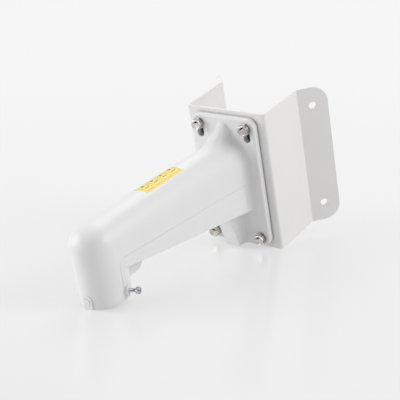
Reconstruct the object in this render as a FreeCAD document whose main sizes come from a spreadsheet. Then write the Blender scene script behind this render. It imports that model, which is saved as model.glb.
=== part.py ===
import FreeCAD, Part
import math
import os
import Sketcher

# Corner-mount arm that carries a dome security camera.
# Frame: +Z up, +Y into the building, the arm reaches towards -Y. The origin is on the building
# corner's vertical edge, at mid-height of the corner plate. Millimetres.

doc = FreeCAD.newDocument("camera_corner_arm")
V = FreeCAD.Vector
X_AXIS = V(1, 0, 0)
Y_AXIS = V(0, 1, 0)
Z_AXIS = V(0, 0, 1)

# ---------------------------------------------------------------- driving dimensions
DRIVING = {
    # corner plate, bent from sheet
    "sheetThick": 3.0,
    "faceWidth": 120.0,
    "plateHeight": 194.0,
    "wingDepth": 80.0,
    "earLength": 40.0,
    "bendOuter": 4.0,
    "bendInner": 1.0,
    "earCornerRound": 22.0,
    "wallHoleRadius": 5.0,
    "wallHoleFromBend": 19.0,
    "wallHoleSpacing": 143.0,
    # flange and its bolts
    "gasketThick": 1.5,
    "gasketInset": 1.0,
    "flangeWidth": 97.0,
    "flangeHeight": 182.6,
    "flangeThick": 8.0,
    "flangeRound": 12.0,
    "boltSpanAcross": 72.0,
    "boltSpanUp": 158.4,
    "boltHoleRadius": 4.5,
    "slotRadius": 5.2,
    "slotDrop": 14.7,
    "boltRadius": 4.0,
    "boltHeadAcross": 13.0,
    "boltHeadThick": 5.3,
    "boltShank": 28.0,
    "washerRadius": 8.0,
    "washerThick": 1.6,
    "springWasherRadius": 6.6,
    "springWasherThick": 2.0,
    "nutThick": 6.5,
    # arm
    "armHalfWidth": 29.0,
    "armWall": 3.0,
    "spoutReach": 283.0,
    "rimHeight": -19.0,
    "mouthRadius": 24.5,
    "mouthDepth": 22.0,
    "undersideAtPlate": -40.9,
    "undersideRise": 0.2193,
    "seamAtPlate": 0.25,
    "seamRise": 0.1185,
    "seamBehindAxis": 4.0,
    "seamCornerRound": 10.0,
    "seamGap": 0.12,
    "neckReach": 19.0,
    # seal, screws and small pieces
    "sealThick": 1.2,
    "sealHalfHeight": 3.5,
    "lockScrewAngle": 17.5,
    "lockScrewHeight": 10.0,
    "lockHeadRadius": 4.25,
    "lockHeadLength": 5.0,
    "lockShankRadius": 2.5,
    "lockShankLength": 16.0,
    "lockOut": 9.1,
    "lockBossFace": 32.4,
    "lockBossRadius": 7.0,
    "lockRingRadius": 4.0,
    "lockRingThick": 1.1,
    "lockClearance": 0.05,
    "coverScrewRadius": 2.0,
    "coverScrewHead": 3.6,
    "cableHoleRadius": 18.0,
    "grommetHole": 15.0,
    "labelLength": 72.0,
    "labelThick": 0.25,
}

sheet = doc.addObject("Spreadsheet::Sheet", "Sizes")
for row, (alias, number) in enumerate(DRIVING.items(), start=1):
    sheet.set("A%d" % row, alias)
    sheet.set("B%d" % row, str(number))
    sheet.setAlias("B%d" % row, alias)
doc.recompute()


def size(alias):
    """One driving dimension, read back from the sheet."""
    return float(sheet.get(alias))


# Places worked out from the driving dimensions.
EAR_ANGLE = math.radians(45)
SHEET = size("sheetThick")
# The wall's corner edge lies on the back planes of both ears.
PLATE_FRONT = -(size("wingDepth") - size("faceWidth") / 2) - SHEET / math.cos(EAR_ANGLE)
PLATE_BACK = PLATE_FRONT + SHEET
HALF_HEIGHT = size("plateHeight") / 2
FLANGE_BACK = PLATE_FRONT - size("gasketThick")
FLANGE_FRONT = FLANGE_BACK - size("flangeThick")
SPOUT_Y = PLATE_FRONT - size("spoutReach")
NECK_END = PLATE_FRONT - size("neckReach")
RIM = size("rimHeight")
HALF = size("armHalfWidth")
WALL = size("armWall")
LOCK_Z = RIM + size("lockScrewHeight")
BOLT_X = size("boltSpanAcross") / 2
BOLT_Z = size("boltSpanUp") / 2
BOLT_PLACES = {"top_left": (-1, 1), "top_right": (1, 1), "bottom_left": (-1, -1), "bottom_right": (1, -1)}

# Smaller sizes, which the driving dimensions don't move.
# arch of the arm's section: height where the sides end, shoulder and crown radii
ARCH_PLATE = {"springing": 27.0, "shoulder": 40.0, "crown": 20.0}
ARCH_ELBOW = {"springing": 52.2, "shoulder": 25.0, "crown": 35.0}
# back of the spout, measured from the spout's axis
SPOUT_BACK = 29.5
SPOUT_BACK_ROUND = 19.0
SPOUT_STEP = 5.0
SPOUT_BACK_FOOT = 4.0
# front boss, which holds the locating pin
FRONT_BOSS_HALF = 6.0
FRONT_BOSS_PROUD = 1.0
FRONT_BOSS_RISE = 1.7
PIN_RADIUS = 3.5
PIN_CLEARANCE = 0.05
PIN_PROUD = 0.8
# web in the inner elbow
WEB_HALF_THICK = 4.0
WEB_BOTTOM = RIM + 3.5
WEB_REACH = 74.0
WEB_ROUND = 9.0
WEB_OVERLAP = 1.5
# buttress under the arm
CHIN_HALF = 10.5
CHIN_FLARE = 13.0
CHIN_BOTTOM = -88.5
CHIN_LOW_REACH = 25.0
CHIN_TOP_REACH = 41.5
# nose between the arm's crown and the flange: reach from the plate, height at its tip, and the
# half width over which it falls away
NOSE_REACH = 56.0
NOSE_TIP_REACH = 17.0
NOSE_TIP = 79.0
NOSE_SPREAD = 10.5
NOSE_FLARE = 9.0
NOSE_TOP_RISE = 6.0
NOSE_BLUNT = (2.0, 4.0)
NOSE_ROOT = 0.96
NOSE_ROOT_SHARES = (0.4, 0.75, 1.0)
NOSE_HALF = 23.0
NOSE_SUNK = 0.5
NOSE_STEPS = 12
NOSE_SECTIONS = 5
# flange casting
ROOT_FILLET = 9.0
ROOT_NECK = 34.0
FLANGE_EDGE_ROUND = 2.6
# how far the arm's and the ribs' solids run into the flange they are cast with
CAST_IN = 4.0
RIB_CAST_IN = 2.0
# cover screws, as (side, distance from the plate), and the posts that they go into
COVER_SCREWS = ((-1, 60.0), (1, 60.0), (-1, 205.0), (1, 205.0))
POST_RADIUS = 4.5
POST_INSET = 17.0
POST_DRILL = 22.0
POST_REACH = 78.0
POST_GAP = 0.2
SCREW_SHANK = 16.0
SCREW_HEAD_DROP = 2.4
SCREW_SEAT = 0.6
SCREW_HOLE_GAP = 0.3
SCREW_HEAD_GAP = 0.6
CROSS_LENGTH = 3.2
CROSS_WIDTH = 0.9
CROSS_DEPTH = 1.2
# lock screws
LOCK_POCKET = 3.2
LOCK_POCKET_GAP = 0.6
LOCK_SOCKET_ACROSS = 4.0
LOCK_SOCKET_DEPTH = 2.5
LOCK_GROOVE_DEPTH = 0.5
LOCK_GROOVE_FROM_TIP = 0.6
# flange bolts, washers and nuts
HOLE_OVER_BOLT = 0.2
SPLIT_WIDTH = 1.0
HEAD_TURNED = 0.2
# grommet
GROMMET_LIP = 2.0
GROMMET_OVERLAP = 3.0
# label on the crown, off centre
LABEL_START = 113.5
LABEL_LEFT = -18.0
LABEL_RIGHT = 9.5
LABEL_GLUE = 0.02
# bright edge of the cover along the seam
SEAM_CHAMFER = 0.7


def undersideZ(y):
    """Height of the arm's flat underside at a depth y."""
    return size("undersideAtPlate") + (PLATE_FRONT - y) * size("undersideRise")


def seamZ(y):
    """Height of the seam between shell and cover at a depth y."""
    return size("seamAtPlate") + (PLATE_FRONT - y) * size("seamRise")


# ---------------------------------------------------------------- helpers
def bind(obj, **bindings):
    """Bind properties of an object to expressions over the sheet."""
    for prop, text in bindings.items():
        obj.setExpression(prop, text)


def place(obj, x=0.0, y=0.0, z=0.0, axis=Z_AXIS, angle=0.0):
    obj.Placement = FreeCAD.Placement(V(x, y, z), FreeCAD.Rotation(axis, angle))
    return obj


def cylinder(name, radius, height, position, direction=Z_AXIS):
    """Part::Cylinder with radius and height given as sheet expressions."""
    obj = doc.addObject("Part::Cylinder", name)
    bind(obj, Radius=radius, Height=height)
    obj.Placement = FreeCAD.Placement(position, FreeCAD.Rotation(Z_AXIS, direction))
    return obj


def box(name, length, width, height, corner):
    obj = doc.addObject("Part::Box", name)
    bind(obj, Length=length, Width=width, Height=height)
    return place(obj, *corner)


def cut(name, base, tool):
    obj = doc.addObject("Part::Cut", name)
    obj.Base = base
    obj.Tool = tool
    doc.recompute()
    return obj


def common(name, base, tool):
    obj = doc.addObject("Part::Common", name)
    obj.Base = base
    obj.Tool = tool
    doc.recompute()
    return obj


def fuse(name, shapes):
    obj = doc.addObject("Part::MultiFuse", name)
    obj.Shapes = shapes
    obj.Refine = True
    doc.recompute()
    return obj


def cutAll(name, base, tools):
    """Cut several tools from a base in one step."""
    tool = fuse(name + "_tools", tools) if len(tools) > 1 else tools[0]
    return cut(name, base, tool)


def fillet(name, base, radius, wanted):
    """Part::Fillet on the edges of base that the test picks."""
    edges = [(i, radius, radius) for i, e in enumerate(base.Shape.Edges, start=1) if wanted(e)]
    if not edges:
        raise RuntimeError(name + " found no edges")
    obj = doc.addObject("Part::Fillet", name)
    obj.Base = base
    obj.Edges = edges
    doc.recompute()
    return obj


def feature(name, shape):
    """A Part::Feature whose shape comes from Part's own functions."""
    obj = doc.addObject("Part::Feature", name)
    obj.Shape = shape
    return obj


def middle(edge):
    """A point half way along an edge."""
    first, last = edge.ParameterRange
    return edge.valueAt((first + last) / 2)


def near(a, b, gap=0.05):
    return abs(a - b) < gap


def originPlane(body, role):
    for item in body.Origin.OriginFeatures:
        if item.Role == role:
            return item
    raise RuntimeError("no plane " + role)


def newSketch(body, role, name):
    sketch = body.newObject("Sketcher::SketchObject", name)
    sketch.AttachmentSupport = [(originPlane(body, role), "")]
    sketch.MapMode = "FlatFace"
    return sketch


def addCircle(sketch, x, y, radius, radiusText=None, xText=None, yText=None):
    """A circle whose radius and centre can follow the sheet."""
    index = sketch.addGeometry(Part.Circle(V(x, y, 0), Z_AXIS, radius), False)
    fixed = (
        (Sketcher.Constraint("Radius", index, radius), radiusText),
        (Sketcher.Constraint("DistanceX", -1, 1, index, 3, x), xText),
        (Sketcher.Constraint("DistanceY", -1, 1, index, 3, y), yText),
    )
    for constraint, text in fixed:
        number = sketch.addConstraint(constraint)
        if text:
            sketch.setExpression("Constraints[%d]" % number, text)
    return index


def addOutline(sketch, points):
    """A closed outline. Each point is (x text, y text) over the sheet, and both are bound."""
    corners = []
    for xText, yText in points:
        x = float(sheet.evalExpression(xText.replace("Sizes.", "")))
        y = float(sheet.evalExpression(yText.replace("Sizes.", "")))
        corners.append(V(x, y, 0))
    count = len(corners)
    for i in range(count):
        sketch.addGeometry(Part.LineSegment(corners[i], corners[(i + 1) % count]), False)
    for i in range(count):
        sketch.addConstraint(Sketcher.Constraint("Coincident", i, 2, (i + 1) % count, 1))
    for i, (xText, yText) in enumerate(points):
        for kind, value, text in (("DistanceX", corners[i].x, xText), ("DistanceY", corners[i].y, yText)):
            number = sketch.addConstraint(Sketcher.Constraint(kind, -1, 1, i, 1, value))
            sketch.setExpression("Constraints[%d]" % number, text)


finished = []


def finish(obj, label):
    """Name a finished sub-part: the label is the node's and the file's name."""
    obj.Label = label
    finished.append((label, obj))
    return obj


# ---------------------------------------------------------------- corner plate
def cornerPlate():
    """Centre face, two wings and two splayed ears, folded from one sheet."""
    body = doc.addObject("PartDesign::Body", "CornerPlateBody")
    sketch = newSketch(body, "XY_Plane", "PlateProfile")
    face = "(Sizes.faceWidth / 2)"
    wing = "Sizes.wingDepth"
    reach = "(Sizes.earLength * cos(45 deg))"
    thick = "Sizes.sheetThick"
    # a bend of 45 degrees moves the inner corner along the wing by thick * tan(22.5)
    inner = "(Sizes.sheetThick * tan(22.5 deg))"
    across = "(Sizes.sheetThick * cos(45 deg))"
    right = [
        (face, "0 * Sizes.faceWidth"),
        (face, wing),
        ("%s + %s" % (face, reach), "%s + %s" % (wing, reach)),
        ("%s + %s - %s" % (face, reach, across), "%s + %s + %s" % (wing, reach, across)),
        ("%s - %s" % (face, thick), "%s + %s" % (wing, inner)),
        ("%s - %s" % (face, thick), thick),
    ]
    left = [("-1 * (%s)" % x, y) for x, y in reversed(right)]
    addOutline(sketch, right + left)
    pad = body.newObject("PartDesign::Pad", "PlatePad")
    pad.Profile = sketch
    pad.Midplane = True
    bind(pad, Length="Sizes.plateHeight")
    doc.recompute()

    faceHalf = size("faceWidth") / 2
    wingDepth = size("wingDepth")
    outer = [(faceHalf, 0.0)]
    sheetInner = SHEET * math.tan(EAR_ANGLE / 2)
    convexBack = [(faceHalf - SHEET, wingDepth + sheetInner)]
    inside = [(faceHalf - SHEET, SHEET), (faceHalf, wingDepth)]

    def verticalAt(shape, places):
        names = []
        for i, edge in enumerate(shape.Edges, start=1):
            point = middle(edge)
            if not near(edge.Length, size("plateHeight")):
                continue
            if any(near(abs(point.x), x) and near(point.y, y) for x, y in places):
                names.append("Edge%d" % i)
        return names

    outside = body.newObject("PartDesign::Fillet", "OuterBends")
    outside.Base = (pad, verticalAt(pad.Shape, outer + convexBack))
    bind(outside, Radius="Sizes.bendOuter")
    doc.recompute()
    insideBends = body.newObject("PartDesign::Fillet", "InnerBends")
    insideBends.Base = (outside, verticalAt(outside.Shape, inside))
    bind(insideBends, Radius="Sizes.bendInner")
    doc.recompute()

    earEnd = faceHalf + size("earLength") * math.cos(EAR_ANGLE)
    corners = []
    for i, edge in enumerate(insideBends.Shape.Edges, start=1):
        point = middle(edge)
        atEnd = abs(point.x) > earEnd - SHEET and near(abs(point.z), HALF_HEIGHT)
        if atEnd and near(edge.Length, SHEET):
            corners.append("Edge%d" % i)
    rounded = body.newObject("PartDesign::Fillet", "EarCorners")
    rounded.Base = (insideBends, corners)
    bind(rounded, Radius="Sizes.earCornerRound")
    doc.recompute()

    faceSketch = newSketch(body, "XZ_Plane", "FaceHoles")
    for signX in (-1, 1):
        for signZ in (-1, 1):
            addCircle(
                faceSketch, signX * BOLT_X, signZ * BOLT_Z, size("boltHoleRadius"), "Sizes.boltHoleRadius",
                "%d * Sizes.boltSpanAcross / 2" % signX, "%d * Sizes.boltSpanUp / 2" % signZ)
    addCircle(faceSketch, 0, 0, size("cableHoleRadius"), "Sizes.cableHoleRadius", "0 * Sizes.faceWidth",
              "0 * Sizes.faceWidth")
    pocket = body.newObject("PartDesign::Pocket", "FacePocket")
    pocket.Profile = faceSketch
    pocket.Midplane = True
    bind(pocket, Length="Sizes.sheetThick * 4")
    doc.recompute()
    body.Tip = pocket
    place(body, 0, PLATE_FRONT, 0)
    doc.recompute()

    # wall holes, square to each splayed ear
    fromBend = size("wallHoleFromBend")
    drills = []
    for side in (-1, 1):
        for up in (-1, 1):
            normal = V(-side * math.sin(EAR_ANGLE), math.cos(EAR_ANGLE), 0)
            middleX = side * (faceHalf + fromBend * math.sin(EAR_ANGLE))
            middleY = PLATE_FRONT + wingDepth + fromBend * math.cos(EAR_ANGLE)
            start = V(middleX, middleY, up * size("wallHoleSpacing") / 2) - normal * SHEET
            through = "Sizes.sheetThick * 3"
            drills.append(cylinder("WallDrill", "Sizes.wallHoleRadius", through, start, normal))
    return finish(cutAll("CornerPlate", body, drills), "corner_plate")


# ---------------------------------------------------------------- arm
def archPoints(half, springing, shoulder, crown):
    """Key points of a three-arc arch on flat sides.

    half is the half width, springing the height where the sides end, shoulder and crown the radii
    of the side arcs and the top arc. The arcs are tangent to the sides and to each other.
    """
    centreX = half - shoulder
    offset = half - shoulder
    reach = crown - shoulder
    crownZ = springing - math.copysign(math.sqrt(reach * reach - offset * offset), reach)
    if crown < shoulder:
        direction = math.atan2(crownZ - springing, -centreX)
    else:
        direction = math.atan2(springing - crownZ, centreX)
    joinX = crown * math.cos(direction)
    joinZ = crownZ + crown * math.sin(direction)
    halfway = direction / 2
    midX = centreX + shoulder * math.cos(halfway)
    midZ = springing + shoulder * math.sin(halfway)
    return {"join": (joinX, joinZ), "mid": (midX, midZ), "top": crownZ + crown}


def archWire(y, inset, arch):
    """The arm's section at depth y, moved inwards by inset."""
    half = HALF - inset
    arc = archPoints(half, arch["springing"], arch["shoulder"] - inset, arch["crown"] - inset)
    floor = undersideZ(y) + inset
    joinX, joinZ = arc["join"]
    midX, midZ = arc["mid"]
    springing = arch["springing"]
    edges = [
        Part.makeLine(V(-half, y, floor), V(half, y, floor)),
        Part.makeLine(V(half, y, floor), V(half, y, springing)),
        Part.Arc(V(half, y, springing), V(midX, y, midZ), V(joinX, y, joinZ)).toShape(),
        Part.Arc(V(joinX, y, joinZ), V(0, y, arc["top"]), V(-joinX, y, joinZ)).toShape(),
        Part.Arc(V(-joinX, y, joinZ), V(-midX, y, midZ), V(-half, y, springing)).toShape(),
        Part.makeLine(V(-half, y, springing), V(-half, y, floor)),
    ]
    return Part.Wire(edges)


def archAt(y):
    """Arch radii and springing at any depth, straight between the two ends."""
    share = (FLANGE_FRONT - y) / (FLANGE_FRONT - SPOUT_Y)
    return {key: ARCH_PLATE[key] + share * (ARCH_ELBOW[key] - ARCH_PLATE[key]) for key in ARCH_PLATE}


def armTube(inset, start):
    """Straight part of the arm, lofted from depth start to the spout's axis."""
    sections = [archWire(start, inset, archAt(start)), archWire(SPOUT_Y, inset, ARCH_ELBOW)]
    return Part.makeLoft(sections, True, True)


def dome(inset, bottom, radius, throat):
    """Spout with its domed top, turned about the spout's axis.

    radius is the spout's from bottom up to throat, where it gives way to the arm's half width.
    """
    half = HALF - inset
    springing = ARCH_ELBOW["springing"]
    arc = archPoints(half, springing, ARCH_ELBOW["shoulder"] - inset, ARCH_ELBOW["crown"] - inset)
    y = SPOUT_Y
    corner = V(half, y, springing)
    join = V(arc["join"][0], y, arc["join"][1])
    top = V(0, y, arc["top"])
    lean = math.atan2(join.z - (arc["top"] - (ARCH_ELBOW["crown"] - inset)), join.x)
    crown = ARCH_ELBOW["crown"] - inset
    crownZ = arc["top"] - crown
    between = (lean + math.pi / 2) / 2
    crownMid = V(crown * math.cos(between), y, crownZ + crown * math.sin(between))
    outline = [V(0, y, bottom), V(radius, y, bottom)]
    if radius < half:
        outline += [V(radius, y, throat), V(half, y, throat + (half - radius))]
    outline.append(corner)
    edges = [Part.makeLine(a, b) for a, b in zip(outline, outline[1:])]
    edges.append(Part.Arc(corner, V(arc["mid"][0], y, arc["mid"][1]), join).toShape())
    edges.append(Part.Arc(join, crownMid, top).toShape())
    edges.append(Part.makeLine(top, V(0, y, bottom)))
    face = Part.Face(Part.Wire(edges))
    return face.revolve(V(0, SPOUT_Y, 0), Z_AXIS, 360)


def sideProfile(points, halfWidth):
    """A prism across the arm from points (y, z)."""
    corners = [V(-halfWidth, y, z) for y, z in points]
    face = Part.Face(Part.makePolygon(corners + [corners[0]]))
    return face.extrude(V(2 * halfWidth, 0, 0))


def filletShape(shape, radius, wanted):
    edges = [edge for edge in shape.Edges if wanted(edge)]
    if not edges:
        raise RuntimeError("no edges to round")
    return shape.makeFillet(radius, edges)


def seamRegion(inset):
    """Everything below the seam, moved inwards by inset from the neck, the seam and the spout's front."""
    neck = NECK_END - inset
    front = SPOUT_Y + size("seamBehindAxis") + inset
    low = RIM - 90
    points = [(neck, low), (neck, seamZ(neck) - inset), (front, seamZ(front) - inset), (front, low)]
    prism = sideProfile(points, HALF + 30)
    cornerZ = seamZ(front) - inset

    def atCorner(edge):
        point = middle(edge)
        return near(point.y, front) and near(point.z, cornerZ) and near(point.x, 0)

    return filletShape(prism, size("seamCornerRound"), atCorner)


def spoutBack():
    """Wider back of the spout, above a sloping step over the round rim."""
    bottom = RIM + SPOUT_BACK_FOOT
    top = undersideZ(SPOUT_Y) + 20
    outline = Part.makeBox(2 * HALF, SPOUT_BACK, top - bottom, V(-HALF, SPOUT_Y, bottom))

    def backCorner(edge):
        point = middle(edge)
        upright = near(edge.Length, top - bottom)
        return upright and near(point.y, SPOUT_Y + SPOUT_BACK)

    rounded = filletShape(outline, SPOUT_BACK_ROUND, backCorner)

    def lowerRim(edge):
        point = middle(edge)
        return near(point.z, bottom) and point.y > SPOUT_Y + 0.5

    low = [edge for edge in rounded.Edges if lowerRim(edge)]
    return rounded.makeChamfer(SPOUT_STEP, low)


def lockDirection(side):
    angle = math.radians(size("lockScrewAngle"))
    return V(side * math.cos(angle), math.sin(angle), 0)


def lockPoint(side, radius):
    return V(0, SPOUT_Y, LOCK_Z) + lockDirection(side) * radius


def armOutside():
    """Outer form of the whole arm: tube, domed spout, spout back and bosses."""
    tube = armTube(0, FLANGE_FRONT + CAST_IN)
    spout = dome(0, RIM, HALF, RIM)
    body = tube.fuse([spout, spoutBack()]).removeSplitter()
    extras = []
    bossStart = size("mouthRadius") + 1
    bossLength = size("lockBossFace") - bossStart
    for side in (-1, 1):
        start = lockPoint(side, bossStart)
        extras.append(Part.makeCylinder(size("lockBossRadius"), bossLength, start, lockDirection(side)))
    frontFace = SPOUT_Y - HALF - FRONT_BOSS_PROUD
    bossTop = LOCK_Z + FRONT_BOSS_RISE
    extras.append(Part.makeCylinder(FRONT_BOSS_HALF, HALF, V(0, frontFace, bossTop), Y_AXIS))
    bossCorner = V(-FRONT_BOSS_HALF, frontFace, RIM)
    extras.append(Part.makeBox(2 * FRONT_BOSS_HALF, HALF, bossTop - RIM, bossCorner))
    return body.fuse(extras).removeSplitter()


def elbowWeb():
    """Stiffening web in the inner elbow."""
    back = SPOUT_Y + SPOUT_BACK - 4
    tip = SPOUT_Y + WEB_REACH
    shoulder = tip - 6
    points = [
        (back, undersideZ(back) + WEB_OVERLAP), (tip, undersideZ(tip) + WEB_OVERLAP),
        (shoulder, WEB_BOTTOM), (back, WEB_BOTTOM)]
    web = sideProfile(points, WEB_HALF_THICK)

    def lowCorner(edge):
        point = middle(edge)
        return near(point.y, shoulder) and near(point.z, WEB_BOTTOM) and near(point.x, 0)

    return filletShape(web, WEB_ROUND, lowCorner)


def armCavity():
    """Cable way through the arm, and the mouth that takes the camera's pipe."""
    tube = armTube(WALL, FLANGE_BACK + 1)
    spout = dome(WALL, RIM - 1, size("mouthRadius"), RIM + size("mouthDepth"))
    return tube.fuse(spout)


def flaredPrism(half, flare, reach, low, high):
    """An upright prism that stands out of the flange face and flares into it with concave arcs."""
    face = FLANGE_FRONT
    inFlange = face + RIB_CAST_IN
    tip = PLATE_FRONT - reach - 5
    middleDrop = flare * (1 - math.sqrt(0.5))
    edges = []
    for side in (-1, 1):
        foot = V(side * (half + flare), face, low)
        bend = V(side * (half + middleDrop), face - middleDrop, low)
        rise = V(side * half, face - flare, low)
        edges.append(Part.Arc(foot, bend, rise).toShape())
        edges.append(Part.makeLine(rise, V(side * half, tip, low)))
        edges.append(Part.makeLine(foot, V(side * (half + flare), inFlange, low)))
    edges.append(Part.makeLine(V(-half, tip, low), V(half, tip, low)))
    edges.append(Part.makeLine(V(-half - flare, inFlange, low), V(half + flare, inFlange, low)))
    outline = Part.Wire(Part.__sortEdges__(edges))
    return Part.Face(outline).extrude(V(0, 0, high - low))


def chin():
    """Buttress under the arm, flared into the flange."""
    inFlange = FLANGE_FRONT + RIB_CAST_IN
    topY = PLATE_FRONT - CHIN_TOP_REACH
    belowArm = 0.3
    profile = [
        (inFlange, undersideZ(inFlange) - belowArm), (topY, undersideZ(topY) - belowArm),
        (PLATE_FRONT - CHIN_LOW_REACH, CHIN_BOTTOM), (inFlange, CHIN_BOTTOM)]
    flared = flaredPrism(CHIN_HALF, CHIN_FLARE, CHIN_TOP_REACH, -HALF_HEIGHT, 0)
    return sideProfile(profile, HALF).common(flared)


def archHeight(x, arch):
    """Height of the arch above a place x across the arm."""
    arc = archPoints(HALF, arch["springing"], arch["shoulder"], arch["crown"])
    joinX = abs(arc["join"][0])
    across = abs(x)
    if across < joinX:
        radius = arch["crown"]
        return arc["top"] - radius + math.sqrt(radius * radius - across * across)
    radius = arch["shoulder"]
    away = across - (HALF - radius)
    return arch["springing"] + math.sqrt(radius * radius - away * away)


def noseSection(y, ridge, spread, blunt):
    """Closed outline across the arm: a bell-shaped ridge over the arch, closed inside the arm.

    A higher value of blunt gives the ridge a broader, rounder top.
    """
    arch = archAt(y)
    top = archHeight(0, arch)
    points = []
    for step in range(-NOSE_STEPS, NOSE_STEPS + 1):
        x = NOSE_HALF * step / NOSE_STEPS
        rise = (ridge - top + NOSE_SUNK) * math.exp(-abs(x / spread) ** blunt)
        points.append(V(x, y, archHeight(x, arch) - NOSE_SUNK + rise))
    skin = Part.BSplineCurve()
    skin.interpolate(points)
    low = arch["springing"]
    ends = [points[-1], V(NOSE_HALF, y, low), V(-NOSE_HALF, y, low), points[0]]
    lines = [Part.makeLine(p, q) for p, q in zip(ends, ends[1:])]
    return Part.Wire([skin.toShape()] + lines)


def nose():
    """Ridge that grows out of the arm's crown and sweeps up the flange."""
    startY = PLATE_FRONT - NOSE_REACH
    tipY = PLATE_FRONT - NOSE_TIP_REACH
    endY = FLANGE_FRONT + RIB_CAST_IN
    startZ = archHeight(0, archAt(startY))
    run = tipY - startY
    rise = NOSE_TIP - startZ
    radius = (run * run + rise * rise) / (2 * rise)
    sections = []
    for step in range(NOSE_SECTIONS + 1):
        y = startY + run * step / NOSE_SECTIONS
        away = y - startY
        ridge = startZ + radius - math.sqrt(radius * radius - away * away)
        blunt = NOSE_BLUNT[0] + (NOSE_BLUNT[1] - NOSE_BLUNT[0]) * step / NOSE_SECTIONS
        sections.append(noseSection(y, ridge, NOSE_SPREAD, blunt))
    for share in NOSE_ROOT_SHARES:
        y = tipY + share * (endY - tipY)
        grown = 1 - math.sqrt(1 - NOSE_ROOT * share * share)
        ridge = NOSE_TIP + NOSE_TOP_RISE * share
        sections.append(noseSection(y, ridge, NOSE_SPREAD + NOSE_FLARE * grown, NOSE_BLUNT[1]))
    return Part.makeLoft(sections, True, False)


def onFlangeFace(edge):
    """Edges where the neck rises from the flange's front face."""
    limits = edge.BoundBox
    flat = near(limits.YMin, FLANGE_FRONT) and near(limits.YMax, FLANGE_FRONT)
    return flat and abs(middle(edge).x) < HALF + 1 and abs(middle(edge).z) < HALF_HEIGHT - 20


def flangeCasting():
    """Square flange with the arm's neck, filleted at its root."""
    width = size("flangeWidth")
    height = size("flangeHeight")
    plate = Part.makeBox(width, size("flangeThick"), height, V(-width / 2, FLANGE_FRONT, -height / 2))

    def cornerEdge(edge):
        point = middle(edge)
        return near(abs(point.x), width / 2) and near(abs(point.z), height / 2)

    plate = filletShape(plate, size("flangeRound"), cornerEdge)

    def frontOutline(edge):
        limits = edge.BoundBox
        return near(limits.YMin, FLANGE_FRONT) and near(limits.YMax, FLANGE_FRONT)

    plate = filletShape(plate, FLANGE_EDGE_ROUND, frontOutline)
    clip = Part.makeBox(4 * HALF, 100, 2 * height, V(-2 * HALF, PLATE_FRONT - ROOT_NECK, -height))
    neck = armTube(0, FLANGE_FRONT + CAST_IN).common(clip)
    return filletShape(plate.fuse(neck), ROOT_FILLET, onFlangeFace)


def boltHoles(start, length, slotsAtTop):
    """Drills for the flange bolts: plain at the bottom, drop slots at the top if asked."""
    drills = []
    for signX in (-1, 1):
        for signZ in (-1, 1):
            point = V(signX * BOLT_X, start, signZ * BOLT_Z)
            if slotsAtTop and signZ > 0:
                radius = size("slotRadius")
                drop = size("slotDrop")
                drills.append(Part.makeCylinder(radius, length, point, Y_AXIS))
                drills.append(Part.makeCylinder(radius, length, point - V(0, 0, drop), Y_AXIS))
                drills.append(Part.makeBox(2 * radius, length, drop, point - V(radius, 0, drop)))
            else:
                drills.append(Part.makeCylinder(size("boltHoleRadius"), length, point, Y_AXIS))
    return drills


def coverScrewPlaces():
    """Foot of each cover screw on the underside, and its height there."""
    for side, reach in COVER_SCREWS:
        y = PLATE_FRONT - reach
        yield side * POST_INSET, y, undersideZ(y)


def lockHoles():
    """Hole for each lock screw, and its captive ring's pocket, open to the mouth."""
    shankHole = size("lockShankRadius") + size("lockClearance")
    ringHole = size("lockRingRadius") + LOCK_POCKET_GAP
    holes = []
    for side in (-1, 1):
        along = lockDirection(side)
        start = lockPoint(side, size("mouthRadius") - 4)
        holes.append(Part.makeCylinder(shankHole, 20, start, along))
        holes.append(Part.makeCylinder(ringHole, LOCK_POCKET + 4, start, along))
    return holes


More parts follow.
